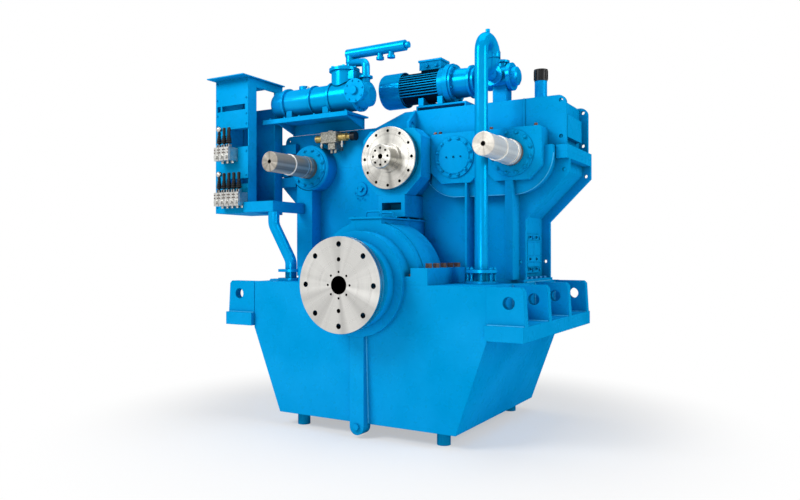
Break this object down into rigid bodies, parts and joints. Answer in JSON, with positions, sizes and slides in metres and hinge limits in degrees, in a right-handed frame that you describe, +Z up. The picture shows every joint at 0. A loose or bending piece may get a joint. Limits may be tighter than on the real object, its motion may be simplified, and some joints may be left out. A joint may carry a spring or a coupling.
{
  "type": "marine reduction gearbox",
  "caption": "Marine reduction gearbox with flanged output shaft, input flange, side power take-offs, electric pump set, filter and hand valve stand.",
  "frame": {"origin": "centre of the output flange's front face, on the output shaft's axis", "axes": "-Y along the output shaft, out of the flange; +Z up; +X to the right seen from the flange side"},
  "size_m": [3.106, 1.877, 3.16],
  "materials": {
    "blue_paint": "semi-gloss enamel",
    "machined_steel": "turned",
    "dark_steel": "blackened",
    "bearing_metal": "ground",
    "aluminium": "cast",
    "zinc": "zinc plated",
    "black_plastic": "matt"
  },
  "bodies": {
    "gearbox": {"bell_housing": "blue_paint", "breather_tube": "blue_paint", "casing_bolts": "dark_steel", "changeover_valve": "blue_paint", "control_stand": "blue_paint", "drain_plug": "machined_steel", "fan_cowl": "blue_paint", "filter_head": "blue_paint", "filter_manifold": "blue_paint", "filter_tray": "blue_paint", "filter_vessel": "blue_paint", "idler_cover": "blue_paint", "input_bearing_housing": "blue_paint", "inspection_lid": "blue_paint", "left_bearing_housing": "blue_paint", "lower_casing": "blue_paint", "lower_valve_block": "aluminium", "middle_casing": "blue_paint", "motor_frame": "blue_paint", "mounting_rail_left": "blue_paint", "mounting_rail_right": "blue_paint", "output_bearings": "bearing_metal", "output_seal_cover": "blue_paint", "pressure_valve": "zinc", "pump_body": "blue_paint", "pump_plinth": "blue_paint", "rear_bearing_cap": "blue_paint", "rear_bearing_covers": "blue_paint", "return_pipe": "blue_paint", "right_bearing_housing": "blue_paint", "right_side_cover": "blue_paint", "round_cover": "blue_paint", "shaft_cover_rings": "blue_paint", "suction_pipe": "blue_paint", "support_feet": "blue_paint", "terminal_box": "blue_paint", "thrust_bearing_cap": "blue_paint", "top_cover": "blue_paint", "upper_bearings": "bearing_metal", "upper_valve_block": "aluminium"},
    "output": {"output_shaft": "machined_steel", "bull_gear": "machined_steel"},
    "input": {"input_pinion_shaft": "machined_steel", "input_flange": "machined_steel", "input_hub": "machined_steel"},
    "left_idler": {"left_idler_shaft": "machined_steel"},
    "right_idler": {"right_idler_shaft": "machined_steel"},
    "left_pto": {"left_pto_shaft": "machined_steel"},
    "right_pto": {"right_pto_shaft": "machined_steel"},
    "pump_drive": {"pump_drive_rotor": "machined_steel"},
    "breather_lid": {"breather_cap": "black_plastic"},
    "upper_lever_1_body": {"upper_lever_1": "black_plastic"},
    "upper_lever_2_body": {"upper_lever_2": "black_plastic"},
    "upper_lever_3_body": {"upper_lever_3": "black_plastic"},
    "lower_lever_1_body": {"lower_lever_1": "black_plastic"},
    "lower_lever_2_body": {"lower_lever_2": "black_plastic"},
    "lower_lever_3_body": {"lower_lever_3": "black_plastic"},
    "lower_lever_4_body": {"lower_lever_4": "black_plastic"},
    "lower_lever_5_body": {"lower_lever_5": "black_plastic"}
  },
  "joints": [
    {"name": "output_turn", "type": "hinge", "parent": "gearbox", "child": "output", "pos_m": [0, 0, 0], "axis": [0, 1, 0], "continuous": true},
    {"name": "input_turn", "type": "hinge", "parent": "gearbox", "child": "input", "pos_m": [0, 0.7, 0.99], "axis": [0, 1, 0], "continuous": true},
    {"name": "left_idler_turn", "type": "hinge", "parent": "gearbox", "child": "left_idler", "pos_m": [-0.48, 1.2, 0.99], "axis": [0, 1, 0], "continuous": true},
    {"name": "right_idler_turn", "type": "hinge", "parent": "gearbox", "child": "right_idler", "pos_m": [0.48, 1.2, 0.99], "axis": [0, 1, 0], "continuous": true},
    {"name": "left_pto_turn", "type": "hinge", "parent": "gearbox", "child": "left_pto", "pos_m": [-0.96, 0.6, 0.99], "axis": [0, 1, 0], "continuous": true},
    {"name": "right_pto_turn", "type": "hinge", "parent": "gearbox", "child": "right_pto", "pos_m": [0.96, 0.6, 0.99], "axis": [0, 1, 0], "continuous": true},
    {"name": "pump_turn", "type": "hinge", "parent": "gearbox", "child": "pump_drive", "pos_m": [0, 1.355, 1.686], "axis": [1, 0, 0], "continuous": true},
    {"name": "breather_cap_turn", "type": "hinge", "parent": "gearbox", "child": "breather_lid", "pos_m": [1.038, 1.355, 1.62], "axis": [0, 0, 1], "range_deg": [0, 90]},
    {"name": "upper_lever_1_tilt", "type": "hinge", "parent": "gearbox", "child": "upper_lever_1_body", "pos_m": [-1.605, 0.452, 1.172], "axis": [1, 0, 0], "range_deg": [-20, 20], "stiffness_Nm_per_rad": 8},
    {"name": "upper_lever_2_tilt", "type": "hinge", "parent": "gearbox", "child": "upper_lever_2_body", "pos_m": [-1.547, 0.452, 1.172], "axis": [1, 0, 0], "range_deg": [-20, 20], "stiffness_Nm_per_rad": 8},
    {"name": "upper_lever_3_tilt", "type": "hinge", "parent": "gearbox", "child": "upper_lever_3_body", "pos_m": [-1.489, 0.452, 1.172], "axis": [1, 0, 0], "range_deg": [-20, 20], "stiffness_Nm_per_rad": 8},
    {"name": "lower_lever_1_tilt", "type": "hinge", "parent": "gearbox", "child": "lower_lever_1_body", "pos_m": [-1.605, 0.452, 0.774], "axis": [1, 0, 0], "range_deg": [-20, 20], "stiffness_Nm_per_rad": 8},
    {"name": "lower_lever_2_tilt", "type": "hinge", "parent": "gearbox", "child": "lower_lever_2_body", "pos_m": [-1.547, 0.452, 0.774], "axis": [1, 0, 0], "range_deg": [-20, 20], "stiffness_Nm_per_rad": 8},
    {"name": "lower_lever_3_tilt", "type": "hinge", "parent": "gearbox", "child": "lower_lever_3_body", "pos_m": [-1.489, 0.452, 0.774], "axis": [1, 0, 0], "range_deg": [-20, 20], "stiffness_Nm_per_rad": 8},
    {"name": "lower_lever_4_tilt", "type": "hinge", "parent": "gearbox", "child": "lower_lever_4_body", "pos_m": [-1.431, 0.452, 0.774], "axis": [1, 0, 0], "range_deg": [-20, 20], "stiffness_Nm_per_rad": 8},
    {"name": "lower_lever_5_tilt", "type": "hinge", "parent": "gearbox", "child": "lower_lever_5_body", "pos_m": [-1.373, 0.452, 0.774], "axis": [1, 0, 0], "range_deg": [-20, 20], "stiffness_Nm_per_rad": 8}
  ],
  "couplings": [
    {"joint": "input_turn", "follows": "output_turn", "ratio": -3.125},
    {"joint": "left_idler_turn", "follows": "output_turn", "ratio": 3.125},
    {"joint": "right_idler_turn", "follows": "output_turn", "ratio": 3.125},
    {"joint": "left_pto_turn", "follows": "output_turn", "ratio": -3.125},
    {"joint": "right_pto_turn", "follows": "output_turn", "ratio": -3.125}
  ]
}
